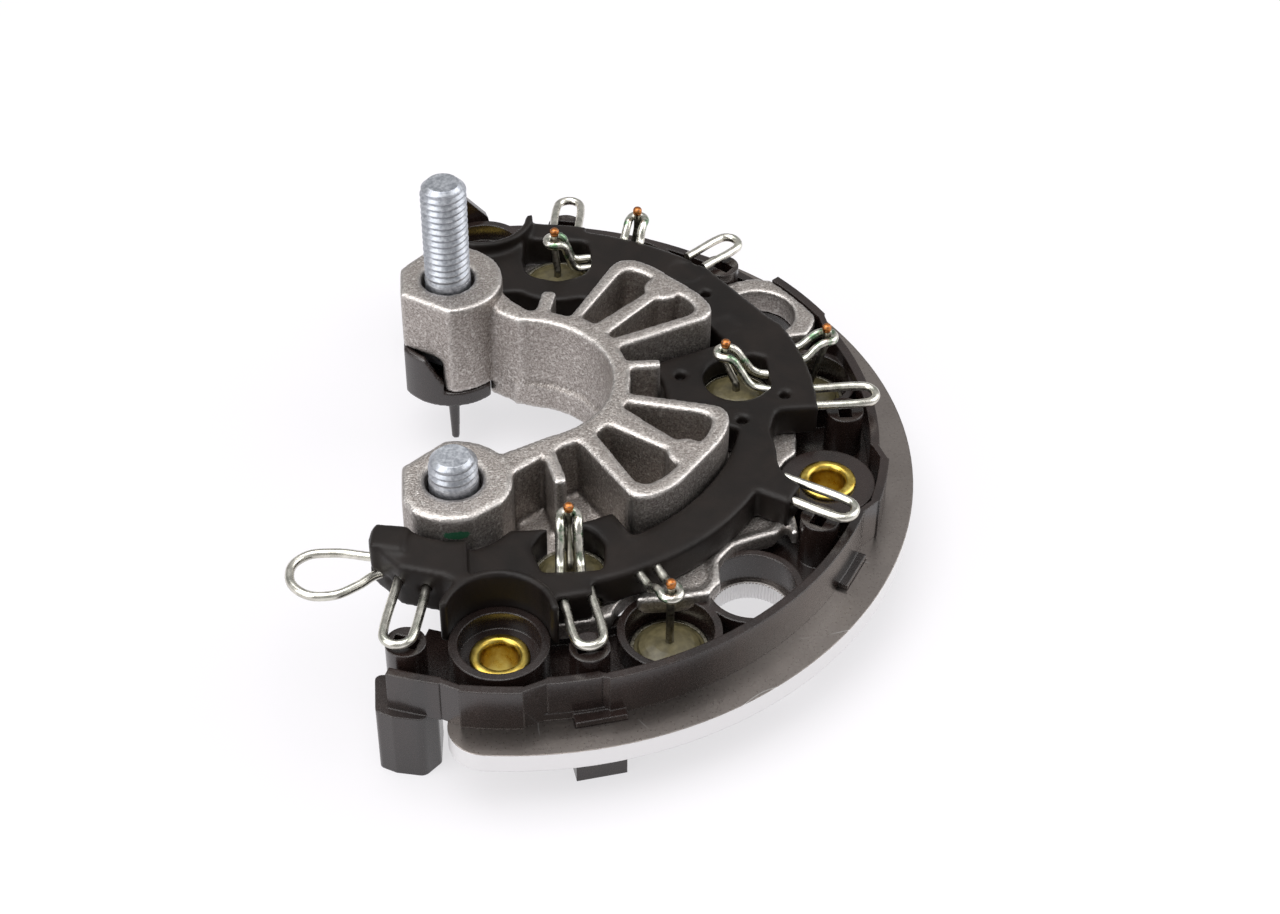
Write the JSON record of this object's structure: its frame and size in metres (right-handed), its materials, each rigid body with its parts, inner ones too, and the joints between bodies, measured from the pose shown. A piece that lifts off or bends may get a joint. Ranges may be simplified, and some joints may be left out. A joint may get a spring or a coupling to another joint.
{
  "type": "alternator rectifier",
  "caption": "Horseshoe alternator rectifier with a finned cast heat sink, crescent plate, moulded carriers, press-fit diodes, wire loops and terminal studs.",
  "frame": {"origin": "on the axis of the hub's inner arc, at the top face of the negative plate", "axes": "+Z along the terminal studs, +X away from the horseshoe's opening"},
  "size_m": [0.1021, 0.133, 0.0541],
  "materials": {
    "cast_aluminium": "fine-grained die casting",
    "bright_plate": "rolled, lightly scratched",
    "ring_moulding": "satin glass-filled moulding",
    "frame_moulding": "matte glass-filled moulding",
    "zinc_steel": "zinc plated",
    "yellow_zinc": "yellow passivated",
    "diode_can": "nickel plated copper",
    "potting": "smooth casting resin",
    "lead_wire": "tinned copper",
    "loop_wire": "bright plated, varnished at the welds"
  },
  "bodies": {
    "root": {"positive_heat_sink": "cast_aluminium", "negative_plate": "bright_plate", "carrier_ring": "ring_moulding", "terminal_frame": "frame_moulding", "long_stud": "zinc_steel", "short_stud": "zinc_steel", "long_stud_cap": "frame_moulding", "short_stud_cap": "frame_moulding", "rivet_left": "yellow_zinc", "rivet_right": "yellow_zinc", "rivet_far": "yellow_zinc", "negative_can_1": "diode_can", "negative_can_2": "diode_can", "negative_can_3": "diode_can", "positive_can_1": "diode_can", "positive_can_2": "diode_can", "positive_can_3": "diode_can", "negative_potting_1": "potting", "negative_potting_2": "potting", "negative_potting_3": "potting", "positive_potting_1": "potting", "positive_potting_2": "potting", "positive_potting_3": "potting", "negative_lead_1": "lead_wire", "negative_lead_2": "lead_wire", "negative_lead_3": "lead_wire", "positive_lead_1": "lead_wire", "positive_lead_2": "lead_wire", "positive_lead_3": "lead_wire", "stator_loop_1": "loop_wire", "stator_loop_2": "loop_wire", "stator_loop_3": "loop_wire", "stator_loop_4": "loop_wire", "stator_loop_5": "loop_wire", "stator_loop_6": "loop_wire", "weld_loop_1": "loop_wire", "weld_loop_2": "loop_wire", "weld_loop_3": "loop_wire", "weld_loop_4": "loop_wire", "weld_loop_5": "loop_wire", "weld_loop_6": "loop_wire", "field_loop": "loop_wire"}
  },
  "joints": []
}
